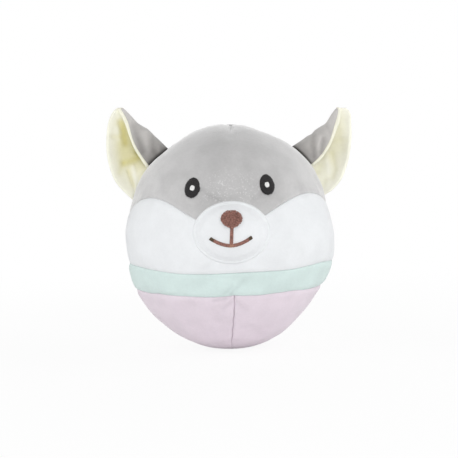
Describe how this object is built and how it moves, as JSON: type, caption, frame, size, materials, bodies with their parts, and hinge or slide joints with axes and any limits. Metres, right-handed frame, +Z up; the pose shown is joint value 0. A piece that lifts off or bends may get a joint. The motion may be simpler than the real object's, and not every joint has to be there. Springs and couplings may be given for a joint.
{
  "type": "plush dog toy",
  "caption": "Stuffed ball-shaped plush dog toy with panelled fabric skin, padded muzzle, embroidered face, bending cupped ears and a bellows squeaker inside.",
  "frame": {"origin": "on the floor, below the middle of the toy's bounding box", "axes": "+Z up through the crown, -Y the way the toy faces, +X toward the toy's own left ear"},
  "size_m": [0.168, 0.1355, 0.1684],
  "materials": {
    "grey_plush": "matte",
    "white_plush": "matte",
    "mint_plush": "matte",
    "pink_plush": "matte",
    "ear_grey_plush": "matte",
    "ear_cream_plush": "matte",
    "stuffing": "matte",
    "black_thread": "satin",
    "white_thread": "satin",
    "brown_thread": "satin",
    "grey_thread": "satin",
    "squeaker_plastic": "satin",
    "reed_holder_plastic": "satin",
    "reed_plastic": "gloss"
  },
  "bodies": {
    "root": {"crown_front": "grey_plush", "crown_back_left": "grey_plush", "crown_back_right": "grey_plush", "cheeks_front": "white_plush", "muzzle_cover": "white_plush", "muzzle_pad": "stuffing", "mint_band_front": "mint_plush", "mint_band_back_left": "mint_plush", "mint_band_back_right": "mint_plush", "seat_front_left": "pink_plush", "seat_front_right": "pink_plush", "seat_back_left": "pink_plush", "seat_back_right": "pink_plush", "fill_front": "stuffing", "fill_rear": "stuffing", "eye_left": "black_thread", "eye_right": "black_thread", "eye_highlight_left": "white_thread", "eye_highlight_right": "white_thread", "nose_embroidery": "brown_thread", "philtrum_stitch": "brown_thread", "smile_stitch": "brown_thread", "closing_stitch": "grey_thread", "squeaker_base": "squeaker_plastic", "squeaker_bellows": "squeaker_plastic", "squeaker_reed_holder": "reed_holder_plastic"},
    "ear_left": {"ear_left_outer": "ear_grey_plush", "ear_left_wadding": "stuffing", "ear_left_inner": "ear_cream_plush"},
    "ear_right": {"ear_right_outer": "ear_grey_plush", "ear_right_wadding": "stuffing", "ear_right_inner": "ear_cream_plush"},
    "squeaker_cap": {"squeaker_top": "squeaker_plastic"},
    "reed": {"squeaker_reed": "reed_plastic"}
  },
  "joints": [
    {"name": "ear_left_bend", "type": "hinge", "parent": "root", "child": "ear_left", "pos_m": [0.06293, 0.00605, 0.12685], "axis": [-0.5615, 0, 0.8275], "range_deg": [-45, 50], "stiffness_Nm_per_rad": 0.03},
    {"name": "ear_right_bend", "type": "hinge", "parent": "root", "child": "ear_right", "pos_m": [-0.06293, 0.00605, 0.12685], "axis": [-0.5615, 0, -0.8275], "range_deg": [-45, 50], "stiffness_Nm_per_rad": 0.03},
    {"name": "squeaker_press", "type": "slide", "parent": "root", "child": "squeaker_cap", "axis": [0, 0, -1], "range_m": [0, 0.01], "stiffness_N_per_m": 500, "deforming": ["squeaker_bellows"]},
    {"name": "reed_flutter", "type": "hinge", "parent": "root", "child": "reed", "pos_m": [0, 0.00405, 0.0686], "axis": [1, 0, 0], "range_deg": [-1.5, 5], "stiffness_Nm_per_rad": 0.0001}
  ]
}
